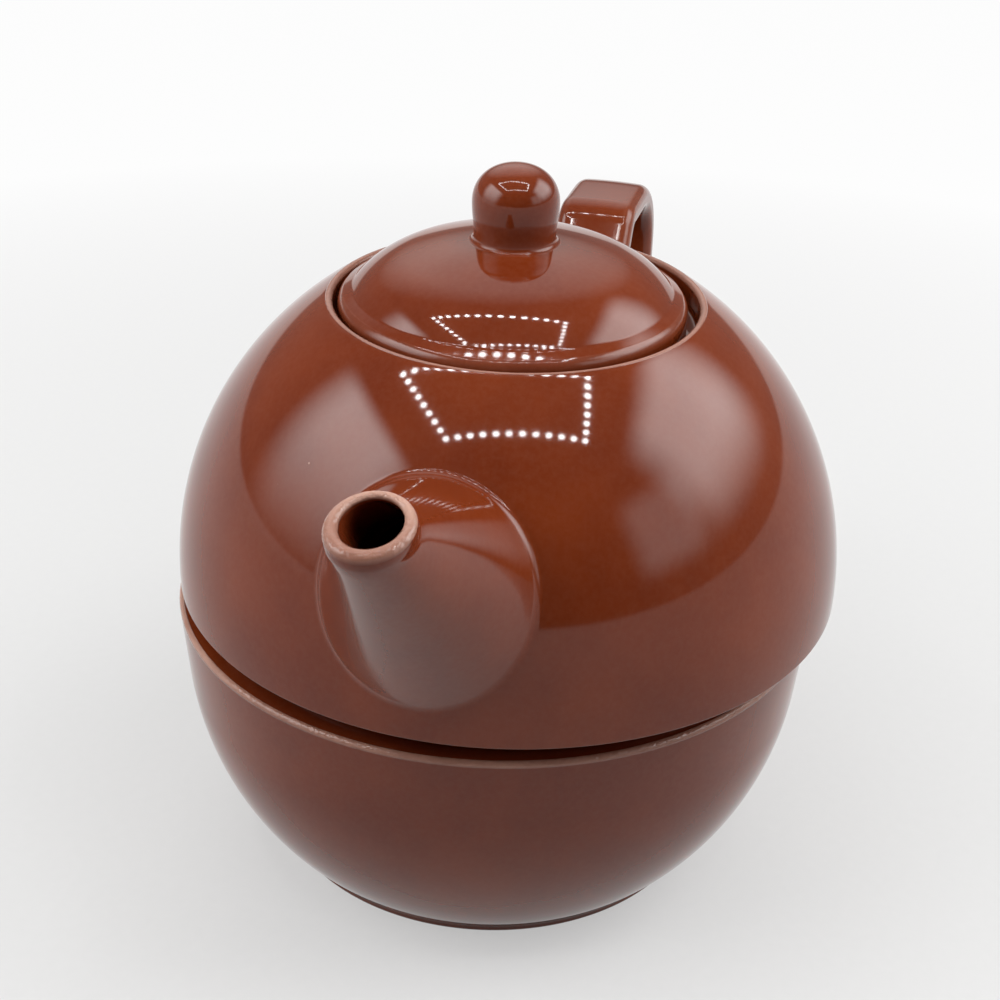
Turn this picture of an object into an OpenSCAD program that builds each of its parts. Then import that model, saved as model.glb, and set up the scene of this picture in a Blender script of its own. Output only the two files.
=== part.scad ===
// Tea for one set: a ball-shaped teapot that stands in the mouth of its own cup.
// The cup's foot is centred on the origin, the spout points along +X and the handles along -X.

/* [Cup] */
// Outer radius of the cup's ball
cup_r = 62.3; // [61:0.1:64]
// Height of the ball's centre over the table
cup_centre_h = 45.2; // [40:0.1:50]
// Height of the cup's lip over the table
cup_h = 54.6; // [52:0.1:70]
// Lean of the cup's outside from upright, below the lip
lip_lean = 6; // [2:0.5:8]
// Wall of the cup
cup_wall = 4.6; // [4:0.1:5.4]
// Thickness of the cup's floor over the table
cup_floor = 5.5; // [4:0.1:9]
// Rounding between the cup's wall and its floor, inside
cup_corner = 10; // [4:0.5:16]
// Rounding of the lip's outer edge
lip_outer_round = 1.9; // [1:0.1:2.2]
// Rounding of the lip's inner edge
lip_inner_round = 0.7; // [0.4:0.1:1]
// Height of the upright band round the foot
foot_h = 1.4; // [1:0.1:2.5]
// Rounding of the foot's lower edge
foot_round = 0.8; // [0.3:0.1:1]

/* [Cup handle] */
// Width of the cup handle's strap
cup_handle_w = 16; // [12:0.5:22]
// Thickness of the cup handle's strap
cup_handle_t = 6.5; // [5:0.5:8]
// How far the cup handle stands out from the ball
cup_handle_reach = 36; // [30:0.5:44]
// Height of the cup handle's top over the table
cup_handle_top = 47; // [42:0.5:50]
// Height of the cup handle's underside over the table
cup_handle_low = 9; // [7:0.5:14]
// Bend radius of the cup handle, on the strap's middle line
cup_handle_bend = 12; // [8:0.5:13]

/* [Pot] */
// Radius of the pot's ball
pot_r = 65; // [64:0.1:70]
// Height of the ball's centre over the cup's lip
pot_rise = 6.65; // [5.5:0.05:9]
// Gap between the cup's lip and the pot's lower edge
skirt_gap = 4.55; // [3:0.05:5]
// Rounding of the pot's lower edge
skirt_round = 1.2; // [0.5:0.1:2]
// How far the seat lies inside the lip's outer edge
seat_inset = 2.6; // [2:0.1:2.7]
// Wall of the pot
pot_wall = 4.5; // [3.5:0.1:5.5]
// Depth of the pot's foot below the cup's lip
nest_depth = 9; // [6:0.5:14]
// Slack of the pot's foot in the cup's mouth
nest_slack = 2.7; // [1:0.1:2.8]
// Room left at the side where the pot's foot lies against the cup
nest_touch = 0.3; // [0.3:0.05:0.6]
// Rounding of the pot's foot
nest_round = 4; // [2:0.5:4.5]

/* [Lid seat] */
// Radius of the opening in the ball that takes the lid
opening_r = 34.2; // [30:0.1:37]
// Depth of the lid's ledge below the opening's edge
ledge_depth = 6; // [4.5:0.1:7]
// Width of the lid's ledge
ledge_w = 5.2; // [4.5:0.1:6.5]

/* [Pot handle] */
// Width of the pot handle's strap
pot_handle_w = 17; // [12:0.5:22]
// Thickness of the pot handle's strap
pot_handle_t = 6.5; // [5:0.5:8]
// Angle up the ball at which the handle starts
pot_handle_root = 23; // [20:0.5:28]
// Angle over level at which the handle rises
pot_handle_rise = 54; // [45:1:65]
// Height of the pot handle's top over the ball's centre
pot_handle_top = 48.8; // [46:0.2:56]
// How far the pot handle stands out from the ball
pot_handle_reach = 40; // [34:0.5:46]
// Height of the pot handle's underside over the ball's centre
pot_handle_low = 3; // [2:0.5:8]
// Bend radius at the front of the handle's top, on the strap's middle line
pot_handle_front_bend = 4.5; // [4:0.5:6]
// Bend radius round the grip, on the strap's middle line
pot_handle_grip_bend = 14.5; // [10:0.5:15]

/* [Spout] */
// Angle up the ball at which the spout's middle line leaves it
spout_root = 25; // [22:0.5:27]
// Angle of the spout over level
spout_angle = 39.5; // [37:0.5:42]
// Length of the spout's middle line, from the ball to the mouth
spout_len = 36.3; // [32:0.1:40]
// Bore of the mouth
spout_bore = 9.6; // [8:0.1:12]
// Wall of the mouth
spout_lip = 1.5; // [1.2:0.1:2.5]
// Angle between the spout's side and its middle line
spout_taper = 16.5; // [15:0.5:18]
// Wall of the spout where it meets the ball
spout_root_wall = 3.6; // [3:0.1:5]
// Tilt of the mouth's plane from level
mouth_tilt = 18; // [10:1:24]
// Diameter of the hole in the ball behind the spout
pour_hole_d = 20; // [14:0.5:21]

/* [Lid] */
// Gap between the lid's edge and the opening
lid_gap = 1.5; // [1:0.1:2]
// Radius of the lid's dome
lid_dome_r = 57; // [50:0.5:65]
// Height of the dome's edge over the ledge
lid_edge_h = 6.4; // [5.5:0.1:8]
// Rounding of the lid's upper edge
lid_edge_round = 2; // [1:0.1:3]
// Wall of the lid
lid_wall = 4.2; // [3.5:0.1:5]
// Depth of the lid's flange below the ledge
flange_depth = 9; // [6:0.5:12]
// Wall of the flange
flange_wall = 3.2; // [2.5:0.1:4]
// Slack of the flange in the pot's mouth
flange_slack = 1; // [0.5:0.1:1.2]
// Room left at the side where the flange lies against the mouth
flange_touch = 0.3; // [0.3:0.05:0.4]

/* [Knob] */
// Radius of the knob at its widest
knob_r = 8.05; // [7:0.05:10]
// Radius of the knob's neck
knob_neck_r = 7.4; // [6:0.05:7.6]
// Height of the knob over the lid's dome
knob_h = 13.8; // [12.5:0.1:18]
// Rounding of the knob's top
knob_round = 7; // [5:0.1:7]

/* [Hidden] */
$fn = 96;
glaze = [0.36, 0.14, 0.08];
// Overrun that makes a cut pass clean through a face
past = 1;
// Flats that a strap's bend is drawn with
bend_steps = 16;
// Cup: radius inside, radius of the foot, where the outside starts to lean, and the lip's outer edge
cup_in_r = cup_r - cup_wall;
foot_r = sqrt(pow(cup_r, 2) - pow(cup_centre_h - foot_h, 2));
lean_r = cup_r * cos(lip_lean);
lean_h = cup_centre_h - cup_r * sin(lip_lean);
lip_r = lean_r + (cup_h - lean_h) * tan(lip_lean);
// Pot: the foot that hangs in the cup, pushed over to +Y until it nearly meets the cup's wall,
// then the seat, the ball's lower edge above it with its thickened waist, and the hollow inside
nest_r = cup_in_r - nest_slack;
pot_shift = nest_slack - nest_touch;
pot_centre_h = cup_h + pot_rise;
skirt_h = cup_h + skirt_gap;
seat_r = lip_r - seat_inset;
nest_h = cup_h - nest_depth;
pot_in_r = pot_r - pot_wall;
nest_in_r = nest_r - pot_wall;
waist_h = skirt_h + pot_wall;
waist_in_r = seat_r - pot_wall;
// Lid seat: heights over the table, and the mouth inside the ledge
opening_h = pot_centre_h + sqrt(pow(pot_r, 2) - pow(opening_r, 2));
ledge_h = opening_h - ledge_depth;
mouth_r = opening_r - ledge_w;
// Lid: pushed over to -Y until its flange nearly meets the mouth
lid_r = opening_r - lid_gap;
flange_r = mouth_r - flange_slack;
flange_in_r = flange_r - flange_wall;
lid_shift = pot_shift - (flange_slack - flange_touch);
dome_centre_h = ledge_h + lid_edge_h - sqrt(pow(lid_dome_r, 2) - pow(lid_r, 2));
dome_in_r = lid_dome_r - lid_wall;
dome_top_h = dome_centre_h + lid_dome_r;
// Spout: where its middle line leaves the ball, and its widths at the mouth and there
spout_start = [pot_r * cos(spout_root), pot_r * sin(spout_root)];
spout_mouth_r = spout_bore / 2 + spout_lip;
spout_root_r = spout_mouth_r + spout_len * tan(spout_taper);
spout_root_in_r = spout_root_r - spout_root_wall;
// How far the spout's cones run on, inside the ball and past the mouth
spout_back = spout_root_r;
spout_front = spout_mouth_r;

// Half outline of a ball that is cut flat at height 0, with the corner rounded
module flat_ball_half(r, centre_h, corner_r) {
    corner_x = sqrt(pow(r - corner_r, 2) - pow(centre_h - corner_r, 2));
    reach = r / (r - corner_r);
    touch = [corner_x * reach, centre_h + (corner_r - centre_h) * reach];
    intersection() {
        translate([0, centre_h]) circle(r);
        translate([0, touch[1]]) square([r, 2 * r]);
    }
    translate([corner_x, corner_r]) circle(corner_r);
    polygon([[0, 0], [corner_x, 0], [corner_x, corner_r], touch, [0, touch[1]]]);
}

// Half outline of a bowl: a flat ball up to its centre and a straight band above
module bowl_half(r, centre_h, corner_r, h) {
    intersection() {
        flat_ball_half(r, centre_h, corner_r);
        square([r, centre_h]);
    }
    translate([0, centre_h]) square([r, h - centre_h]);
}

// Half outline of the cup's outside: the foot's band, the ball, and the wall that leans out to the lip
module cup_outside_half() {
    square([foot_r - foot_round, foot_h]);
    translate([0, foot_round]) square([foot_r, foot_h - foot_round]);
    translate([foot_r - foot_round, foot_round]) circle(foot_round);
    intersection() {
        translate([0, cup_centre_h]) circle(cup_r);
        translate([0, foot_h]) square([cup_r, lean_h - foot_h]);
    }
    polygon([[0, lean_h], [lean_r, lean_h], [lip_r, cup_h], [0, cup_h]]);
}

// Outline that rounds an edge when it is cut away: the edge is at [0, 0], the clay below it and to its left.
// The side below the edge leans in by the given angle.
module edge_cut(r, lean = 0) {
    centre = [-r * (1 + sin(lean)) / cos(lean), -r];
    touch = centre + r * [cos(lean), -sin(lean)];
    difference() {
        polygon([centre, touch, touch + [r, 0], [r, r], [centre[0], r]]);
        translate(centre) circle(r);
    }
}

// Way of each run of a strap's middle line, and the way to its left
function ways(points) = [
    for (i = [0 : len(points) - 2]) (points[i + 1] - points[i]) / norm(points[i + 1] - points[i])
];
function left(way) = [-way[1], way[0]];

// Points of a clockwise bend: its corner, the ways in and out, its radius, and how far out the edge lies
function bend(corner, way_in, way_out, r, off) =
    let (
        turn = acos(way_in * way_out),
        start = atan2(way_in[1], way_in[0]) + 90,
        centre = corner - way_in * r * tan(turn / 2) - left(way_in) * r
    )
    [
        for (i = [0 : bend_steps])
            let (angle = start - turn * i / bend_steps)
            centre + (r + off) * [cos(angle), sin(angle)]
    ];

// One edge of a strap, at a distance outside its middle line
function strap_edge(points, bends, off) =
    let (w = ways(points), last = len(points) - 1)
    [
        points[0] + left(w[0]) * off,
        for (i = [1 : last - 1]) each bend(points[i], w[i - 1], w[i], bends[i - 1], off),
        points[last] + left(w[last - 1]) * off
    ];

// A strap of one thickness along the corners of its middle line, with a bend at each inner corner
module strap(points, bends, t) {
    outer = strap_edge(points, bends, t / 2);
    inner = strap_edge(points, bends, -t / 2);
    polygon(concat(outer, [for (i = [len(inner) - 1 : -1 : 0]) inner[i]]));
}

// A handle outline stood up behind the ball, along -X, at the given width
module stand_handle(w) {
    mirror([1, 0, 0]) rotate([90, 0, 0]) translate([0, 0, -w / 2]) linear_extrude(w) children();
}

module cup_bowl() {
    color(glaze)
        rotate_extrude()
            difference() {
                cup_outside_half();
                translate([0, cup_floor])
                    bowl_half(cup_in_r, cup_centre_h - cup_floor, cup_corner, cup_h - cup_floor + past);
                translate([lip_r, cup_h]) edge_cut(lip_outer_round, lip_lean);
                translate([cup_in_r, cup_h]) mirror([1, 0]) edge_cut(lip_inner_round);
            }
}

module cup_handle() {
    grip_x = cup_r + cup_handle_reach - cup_handle_t / 2;
    top = cup_handle_top - cup_handle_t / 2;
    low = cup_handle_low + cup_handle_t / 2;
    color(glaze)
        difference() {
            stand_handle(cup_handle_w)
                strap([[cup_in_r / 2, top], [grip_x, top], [grip_x, low], [cup_in_r / 2, low]],
                      [cup_handle_bend, cup_handle_bend], cup_handle_t);
            rotate_extrude() cup_outside_half();
        }
}

// Places what is drawn round the pot's axis, with its heights from the table
module on_pot() {
    translate([0, pot_shift, 0]) children();
}

// Turns what is drawn along +Z from the ball into the spout's line
module on_spout() {
    on_pot()
        translate([spout_start[0], 0, pot_centre_h + spout_start[1]])
            rotate([0, 90 - spout_angle, 0])
                children();
}

// Half outline of the hollow ball, with the thickened waist over its lower edge
module ball_half() {
    difference() {
        translate([0, skirt_h]) flat_ball_half(pot_r, pot_rise - skirt_gap, skirt_round);
        intersection() {
            translate([0, pot_centre_h]) circle(pot_in_r);
            translate([0, waist_h]) square([pot_r, 2 * pot_r]);
        }
        translate([0, skirt_h - past]) square([waist_in_r, pot_wall + 2 * past]);
    }
}

module ledge_half() {
    intersection() {
        translate([0, pot_centre_h]) circle(pot_r);
        translate([0, ledge_h - pot_wall]) square([opening_r + pot_wall, pot_r]);
    }
}

module pot_body() {
    color(glaze)
        difference() {
            on_pot()
                rotate_extrude()
                    difference() {
                        union() {
                            ball_half();
                            ledge_half();
                        }
                        translate([0, ledge_h]) square([opening_r, pot_r]);
                        translate([0, pot_centre_h]) square([mouth_r, pot_r]);
                    }
            on_spout()
                translate([0, 0, -spout_back]) cylinder(d = pour_hole_d, h = 2 * spout_back);
        }
}

// The pot's floor: the seat that rests on the cup's lip, and the part that hangs in the cup
module pot_foot() {
    color(glaze)
        on_pot()
            rotate_extrude()
                difference() {
                    union() {
                        translate([0, cup_h]) square([seat_r, skirt_gap]);
                        translate([0, nest_h + nest_round]) square([nest_r, nest_depth - nest_round + past]);
                        translate([0, nest_h]) square([nest_r - nest_round, nest_depth]);
                        translate([nest_r - nest_round, nest_h + nest_round]) circle(nest_round);
                    }
                    translate([0, nest_h + pot_wall]) square([nest_in_r, nest_depth + pot_wall]);
                }
}

module pot_spout() {
    grow = tan(spout_taper);
    bore_grow = (spout_root_in_r - spout_bore / 2) / spout_len;
    color(glaze)
        difference() {
            on_spout()
                difference() {
                    translate([0, 0, -spout_back])
                        cylinder(r1 = spout_root_r + spout_back * grow,
                                 r2 = spout_mouth_r - spout_front * grow,
                                 h = spout_back + spout_len + spout_front);
                    translate([0, 0, -spout_back - past])
                        cylinder(r1 = spout_root_in_r + (spout_back + past) * bore_grow,
                                 r2 = spout_bore / 2 - (spout_front + past) * bore_grow,
                                 h = spout_back + spout_len + spout_front + 2 * past);
                    translate([0, 0, spout_len])
                        rotate([0, mouth_tilt + spout_angle - 90, 0])
                            cylinder(r = 4 * spout_mouth_r, h = 4 * spout_mouth_r);
                }
            on_pot() translate([0, 0, pot_centre_h]) sphere(pot_r);
        }
}

module pot_handle() {
    rise = [cos(pot_handle_rise), sin(pot_handle_rise)];
    root = pot_r * [cos(pot_handle_root), sin(pot_handle_root)];
    top = pot_handle_top - pot_handle_t / 2;
    low = pot_handle_low + pot_handle_t / 2;
    grip_x = pot_r + pot_handle_reach - pot_handle_t / 2;
    front = root + rise * (top - root[1]) / rise[1];
    color(glaze)
        on_pot()
            translate([0, 0, pot_centre_h])
                difference() {
                    stand_handle(pot_handle_w)
                        strap([root - rise * pot_handle_t, front,
                               [grip_x, top], [grip_x, low], [pot_in_r, low]],
                              [pot_handle_front_bend, pot_handle_grip_bend, pot_handle_grip_bend],
                              pot_handle_t);
                    sphere(pot_r);
                }
}

// Places what is drawn round the lid's axis
module on_lid() {
    translate([0, lid_shift, 0]) children();
}

// Half outline of the lid's dome, down to the ledge, with its upper edge rounded
module dome_half() {
    round_x = lid_r - lid_edge_round;
    round_up = sqrt(pow(lid_dome_r - lid_edge_round, 2) - pow(round_x, 2));
    touch_x = round_x * lid_dome_r / (lid_dome_r - lid_edge_round);
    intersection() {
        translate([0, dome_centre_h]) circle(lid_dome_r);
        translate([0, ledge_h]) square([touch_x, lid_dome_r]);
    }
    translate([0, ledge_h]) square([lid_r, dome_centre_h + round_up - ledge_h]);
    translate([round_x, dome_centre_h + round_up]) circle(lid_edge_round);
}

module lid_cap() {
    color(glaze)
        on_lid()
            rotate_extrude()
                difference() {
                    union() {
                        dome_half();
                        translate([0, ledge_h - flange_depth]) square([flange_r, flange_depth + past]);
                    }
                    intersection() {
                        translate([0, dome_centre_h]) circle(dome_in_r);
                        translate([0, ledge_h - flange_depth - past]) square([flange_in_r, lid_dome_r]);
                    }
                }
}

module lid_knob() {
    ball_h = dome_top_h + knob_h - knob_round;
    top_flat = knob_r - knob_round;
    color(glaze)
        on_lid()
            difference() {
                rotate_extrude() {
                    polygon([[0, dome_centre_h], [knob_neck_r, dome_centre_h], [knob_neck_r, dome_top_h],
                             [knob_r, ball_h], [0, ball_h]]);
                    translate([0, ball_h]) square([top_flat, knob_round]);
                    intersection() {
                        translate([top_flat, ball_h]) circle(knob_round);
                        translate([0, ball_h]) square([knob_r, knob_round]);
                    }
                }
                translate([0, 0, dome_centre_h]) sphere(lid_dome_r);
            }
}

cup_bowl();
cup_handle();
pot_body();
pot_foot();
pot_spout();
pot_handle();
lid_cap();
lid_knob();
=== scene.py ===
# %% [markdown]
# # A teapot that stands in the mouth of its own cup
# The real set is three loose fired pieces under one dark reddish-brown glaze: a round cup, a ball-shaped
# pot that rests on the cup's lip, and a domed lid with a knob. The imported model is loaded as a fixed
# frame first. Its solids are right in size, but they are flat facets with hard edges, and a glossy glaze
# shows every facet. So each piece is made again here as a smooth skin in the same place, and the solid
# it replaces is hidden.

# %% Load the frame
import math

import bmesh
import bpy
from mathutils import Matrix, Quaternion, Vector


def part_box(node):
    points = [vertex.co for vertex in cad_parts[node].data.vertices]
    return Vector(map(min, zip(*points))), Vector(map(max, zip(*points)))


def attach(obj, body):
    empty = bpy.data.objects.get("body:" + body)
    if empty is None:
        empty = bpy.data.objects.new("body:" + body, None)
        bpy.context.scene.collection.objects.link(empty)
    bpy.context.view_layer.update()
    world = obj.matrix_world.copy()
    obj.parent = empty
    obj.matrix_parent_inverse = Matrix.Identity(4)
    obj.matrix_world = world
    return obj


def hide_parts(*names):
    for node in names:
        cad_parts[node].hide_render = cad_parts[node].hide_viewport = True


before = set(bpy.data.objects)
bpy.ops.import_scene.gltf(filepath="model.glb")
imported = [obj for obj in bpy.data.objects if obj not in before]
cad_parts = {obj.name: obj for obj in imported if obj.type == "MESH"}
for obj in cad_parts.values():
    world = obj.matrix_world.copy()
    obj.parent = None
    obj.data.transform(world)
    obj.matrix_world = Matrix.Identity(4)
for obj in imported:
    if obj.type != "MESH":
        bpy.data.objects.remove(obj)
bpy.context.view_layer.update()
MM = 0.001

# %% [markdown]
# ## The camera
# The photograph looks down at the front of the spout from only about a third of a metre away, so the far
# side of the ball is plainly smaller than the near side. A place, a point to look at, a lens and a small
# roll give that view. The roll turns the camera round its own line of sight, which is why it is
# multiplied on last.

# %% Camera
CAMERA_AT = Vector((306.22, 76.35, 241.65)) * MM
CAMERA_TO = Vector((6.95, 2.17, 76.02)) * MM
CAMERA_ROLL = math.radians(1.775)

camera = bpy.data.objects.new("camera", bpy.data.cameras.new("camera"))
camera.data.lens = 65.013
camera.data.sensor_width = 36
camera.data.clip_start = 10 * MM
camera.location = CAMERA_AT
camera.rotation_mode = "QUATERNION"
sight = (CAMERA_TO - CAMERA_AT).to_track_quat("-Z", "Y")
camera.rotation_quaternion = sight @ Quaternion((0, 0, 1), CAMERA_ROLL)
bpy.context.collection.objects.link(camera)
bpy.context.scene.camera = camera
print("Camera stands", round((CAMERA_AT - CAMERA_TO).length / MM), "mm from what it looks at")

# %% [markdown]
# ## The glaze
# The glaze is a coloured glass, run thick over red clay. It is deep red-brown where it pools and breaks
# to a pinkish tan on lips and edges, where it runs thin in the kiln. One material does all pieces,
# because they were dipped in the same bucket. Its patches come from noise on Object coordinates, so they
# run on from piece to piece, and the thin places come from an attribute that each mesh carries, because
# only the mesh knows where it bends sharply.

# %% A short way to add a node
def add_node(material, kind, inputs, **settings):
    """Adds a node, sets its options, and links or fills its inputs."""
    made = material.node_tree.nodes.new(kind)
    for name, value in settings.items():
        setattr(made, name, value)
    for name, value in inputs.items():
        if isinstance(value, bpy.types.NodeSocket):
            material.node_tree.links.new(value, made.inputs[name])
        else:
            made.inputs[name].default_value = value
    return made


def mix_colour(material, share, below, above):
    """Mixes two colours by a share from 0 to 1, and returns the output."""
    made = add_node(material, "ShaderNodeMix", {0: share, 6: below, 7: above}, data_type="RGBA")
    return made.outputs[2]


def calculate(material, operation, one, other):
    """Works out two values with a Math node, and returns the output."""
    return add_node(material, "ShaderNodeMath", {0: one, 1: other}, operation=operation).outputs[0]


def spread(material, value, low, high, to_low=0.0, to_high=1.0):
    """Maps the range low to high onto another range, clamped, and returns the output."""
    made = add_node(material, "ShaderNodeMapRange", {0: value, 1: low, 2: high, 3: to_low, 4: to_high})
    return made.outputs[0]


print("Node helpers:", ", ".join(helper.__name__ for helper in (add_node, mix_colour, calculate, spread)))

# %% Glaze: colour
DEEP_BROWN = (0.114, 0.0170, 0.0036, 1)
RED_BROWN = (0.150, 0.0250, 0.0052, 1)
THIN_TAN = (0.500, 0.310, 0.240, 1)
POOLS_PER_M = 38.0
POOLS_FROM, POOLS_FULL = 0.35, 0.68
GRAIN_PER_M = 900.0
GRAIN_FROM, GRAIN_FULL = 0.35, 0.75
GRAIN_SHARE = 0.02
UNEVEN_LOW, UNEVEN_HIGH = 0.3, 0.7
TAN_LEAST, TAN_MOST = 0.45, 0.85

glaze = bpy.data.materials.new("brown_glaze_on_red_clay")
glaze.use_nodes = True
glaze_shader = glaze.node_tree.nodes["Principled BSDF"]
place = add_node(glaze, "ShaderNodeTexCoord", {}).outputs["Object"]
pools = add_node(glaze, "ShaderNodeTexNoise", {"Vector": place, "Scale": POOLS_PER_M, "Detail": 3.0,
                                               "Roughness": 0.55}).outputs["Fac"]
grain = add_node(glaze, "ShaderNodeTexNoise", {"Vector": place, "Scale": GRAIN_PER_M, "Detail": 2.0,
                                               "Roughness": 0.6}).outputs["Fac"]
pooled = mix_colour(glaze, spread(glaze, pools, POOLS_FROM, POOLS_FULL), DEEP_BROWN, RED_BROWN)
grainy = spread(glaze, grain, GRAIN_FROM, GRAIN_FULL, 0.0, GRAIN_SHARE)
grained = mix_colour(glaze, grainy, pooled, THIN_TAN)
thin = add_node(glaze, "ShaderNodeAttribute", {}, attribute_name="thin").outputs["Fac"]
tan_here = spread(glaze, pools, UNEVEN_LOW, UNEVEN_HIGH, TAN_LEAST, TAN_MOST)
broken = calculate(glaze, "MULTIPLY", thin, tan_here)
broken_colour = mix_colour(glaze, broken, grained, THIN_TAN)
print("Glaze colours run from", DEEP_BROWN[:3], "to", THIN_TAN[:3])

# %% [markdown]
# A few small things keep the glaze from looking like plastic. Pinholes and specks of grit lie in it, far
# apart: a Voronoi texture gives one point to a cell, and only some cells keep theirs. And the surface
# isn't quite even: a slow ripple bends the reflections a little, as on any dipped pot. Where the glaze is
# thin, the clay's grain shows through it and breaks a line of light into sparks. The cup's underside is
# bare clay, because glaze there would fuse it to the kiln shelf.

# %% Glaze: specks and bare foot
BARE_CLAY = (0.380, 0.190, 0.110, 1)
SPECK_CELLS_PER_M = 85.0
SPECK_FULL, SPECK_END = 0.014, 0.024
SPECK_SHARE = 0.6
SPECKLESS_CELLS = 0.82
LOT_FADE = 0.02
BARE_BELOW, GLAZED_ABOVE = 0.15 * MM, 0.45 * MM

cells = add_node(glaze, "ShaderNodeTexVoronoi", {"Vector": place, "Scale": SPECK_CELLS_PER_M})
lot = add_node(glaze, "ShaderNodeSeparateColor", {"Color": cells.outputs["Color"]}).outputs["Red"]
near = spread(glaze, cells.outputs["Distance"], SPECK_FULL, SPECK_END, SPECK_SHARE, 0.0)
kept = spread(glaze, lot, SPECKLESS_CELLS, SPECKLESS_CELLS + LOT_FADE)
speck = calculate(glaze, "MULTIPLY", near, kept)
specked = mix_colour(glaze, speck, broken_colour, THIN_TAN)
height = add_node(glaze, "ShaderNodeSeparateXYZ", {"Vector": place}).outputs["Z"]
bare = spread(glaze, height, BARE_BELOW, GLAZED_ABOVE, 1.0, 0.0)
finished = mix_colour(glaze, bare, specked, BARE_CLAY)
glaze.node_tree.links.new(finished, glaze_shader.inputs["Base Color"])
print("About one cell in", round(1 / (1 - SPECKLESS_CELLS)), "keeps its speck")

# %% Glaze: gloss and ripple
GLAZE_IOR = 1.38
GLOSS_BEST, GLOSS_WORST = 0.045, 0.085
CLAY_ROUGHER = 0.7
RIPPLES_PER_M = 60.0
RIPPLE_H = 0.10 * MM
SPECK_H = 0.08 * MM
GRIT_H = 0.4 * MM


def bump(heights, strength, tallest, **below):
    """Bends the normal by a pattern of heights, over another bump where one is given."""
    inputs = {"Height": heights, "Strength": strength, "Distance": tallest}
    return add_node(glaze, "ShaderNodeBump", inputs | below).outputs["Normal"]


glossy = spread(glaze, pools, UNEVEN_LOW, UNEVEN_HIGH, GLOSS_BEST, GLOSS_WORST)
roughness = calculate(glaze, "ADD", glossy, spread(glaze, bare, 0.0, 1.0, 0.0, CLAY_ROUGHER))
ripple = add_node(glaze, "ShaderNodeTexNoise", {"Vector": place, "Scale": RIPPLES_PER_M, "Detail": 1.0})
rippled = bump(ripple.outputs["Fac"], strength=0.25, tallest=RIPPLE_H)
pitted = bump(speck, strength=0.4, tallest=SPECK_H, Normal=rippled)
grit = calculate(glaze, "MULTIPLY", thin, grain)
gritty = bump(grit, strength=0.9, tallest=GRIT_H, Normal=pitted)
glaze.node_tree.links.new(roughness, glaze_shader.inputs["Roughness"])
glaze.node_tree.links.new(gritty, glaze_shader.inputs["Normal"])
glaze_shader.inputs["IOR"].default_value = GLAZE_IOR
print("Glaze has", len(glaze.node_tree.nodes), "nodes")

# %% [markdown]
# ## Turning and finishing
# Cup, pot, lid and knob were all made on a wheel, so each is one half outline that is spun once round its
# axis. The outline is a list of points, outward and up, with every edge already rounded: arcs from a
# helper for the long curves, and softened corners for the straight runs. A spin leaves doubled points on
# the axis, which are merged before the normals are worked out again.

# %% Outlines and spinning
TURN_STEPS = 168
SAME_POINT = 0.0005 * MM


def arc(centre, radius, start, end, steps):
    """Points of an arc in the (outward, up) plane, between two angles over level, in degrees."""
    angles = [math.radians(start + (end - start) * i / steps) for i in range(steps + 1)]
    return [(centre[0] + radius * math.cos(a), centre[1] + radius * math.sin(a)) for a in angles]


def soften(corners, steps=6):
    """Points of a run of straight lines, each corner (outward, up, rounding) rounded by its own radius."""
    points = []
    for i, (out, up, rounding) in enumerate(corners):
        corner = Vector((out, up))
        if rounding == 0 or i in (0, len(corners) - 1):
            points.append((out, up))
            continue
        back = (Vector(corners[i - 1][:2]) - corner).normalized()
        ahead = (Vector(corners[i + 1][:2]) - corner).normalized()
        cut = rounding / math.tan(back.angle(ahead) / 2)
        start, end = corner + back * cut, corner + ahead * cut
        for k in range(steps + 1):
            t = k / steps
            points.append(start.lerp(corner, t).lerp(corner.lerp(end, t), t)[:])
    return points


def turned(outline, axis_y):
    """Spins a half outline round an upright axis and closes it."""
    bm = bmesh.new()
    chain = [bm.verts.new((out, axis_y, up)) for out, up in outline]
    edges = [bm.edges.new(pair) for pair in zip(chain, chain[1:])]
    bmesh.ops.spin(bm, geom=chain + edges, cent=(0, axis_y, 0), axis=(0, 0, 1), angle=math.tau,
                   steps=TURN_STEPS, use_merge=True)
    bmesh.ops.remove_doubles(bm, verts=bm.verts, dist=SAME_POINT)
    bmesh.ops.recalc_face_normals(bm, faces=bm.faces)
    return bm


print("A full turn has", TURN_STEPS, "steps")

# %% [markdown]
# Glaze pulls away from a sharp bend and stays thick on a slow one. So each mesh measures how fast it
# bends at each point, as the angle between two neighbouring faces over the distance between their
# middles. That is one over the radius of the bend. A radius under a millimetre or so is bare to the tan,
# and one over a few millimetres is covered. Runny glaze leaves an edge that looks up and gathers on one
# that hangs, so hanging edges stay dark. The rim of a spout or handle lies on another piece's skin. There
# its normals are turned to that skin's own, so that the glaze runs on without a line.

# %% Marking thin glaze and finishing a piece
THIN_FULL = 0.9 * MM
THIN_NONE = 3.6 * MM
THIN_UPRIGHT, THIN_RISE = 0.4, 1.5
RIM_NEAR = 0.1 * MM


def mark_thin_glaze(bm, bareness):
    """Writes a point attribute, thin, that is highest on sharp outward bends and 0 on slow ones."""
    thin_layer = bm.verts.layers.float.new("thin")
    for vert in bm.verts:
        bends = [0.0]
        for edge in vert.link_edges:
            if len(edge.link_faces) == 2:
                one, other = (face.calc_center_median() for face in edge.link_faces)
                bends.append(edge.calc_face_angle_signed() / max((one - other).length, 1e-6))
        share = (max(bends) - 1 / THIN_NONE) / (1 / THIN_FULL - 1 / THIN_NONE)
        looks_up = min(max(vert.normal.z * THIN_RISE + THIN_UPRIGHT, 0.0), 1.0)
        vert[thin_layer] = min(max(share, 0.0), 1.0) * looks_up * bareness


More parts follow.
